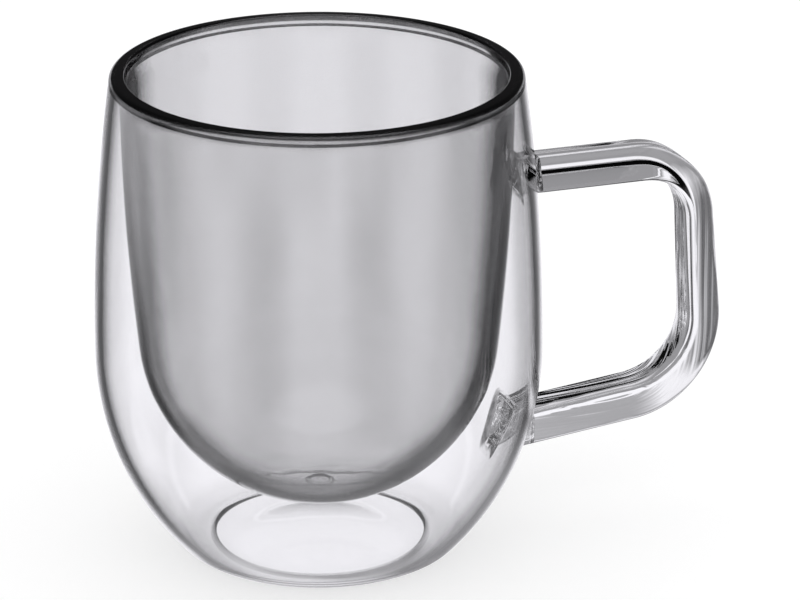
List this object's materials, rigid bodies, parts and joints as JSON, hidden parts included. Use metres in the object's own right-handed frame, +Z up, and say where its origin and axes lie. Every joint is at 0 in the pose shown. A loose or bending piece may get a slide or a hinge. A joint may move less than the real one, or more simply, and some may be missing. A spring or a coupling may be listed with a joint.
{
  "type": "double walled glass cup",
  "caption": "Double-walled glass mug: a smoke-grey inner bowl fused at the rim into a clear outer wall, with a bent clear glass bar as its handle.",
  "frame": {"origin": "centre of the ring that the mug stands on, on the mug's axis", "axes": "+Z up along the mug's axis, +X towards the handle"},
  "size_m": [0.1288, 0.0882, 0.0977],
  "materials": {
    "clear_glass": "clear borosilicate glass, blown and fire-polished",
    "smoke_glass": "smoke-grey borosilicate glass, blown and fire-polished",
    "smoke_glass_rim": "smoke-grey glass melted into a thick, nearly black rounded lip",
    "clear_glass_bar": "clear pressed glass bar, fire-polished, slightly uneven"
  },
  "bodies": {
    "root": {"outer_shell": "clear_glass", "base_disc": "clear_glass", "inner_bowl": "smoke_glass", "rim_bead": "smoke_glass_rim", "handle": "clear_glass_bar", "upper_handle_joint": "clear_glass_bar", "lower_handle_joint": "clear_glass_bar"}
  },
  "joints": []
}
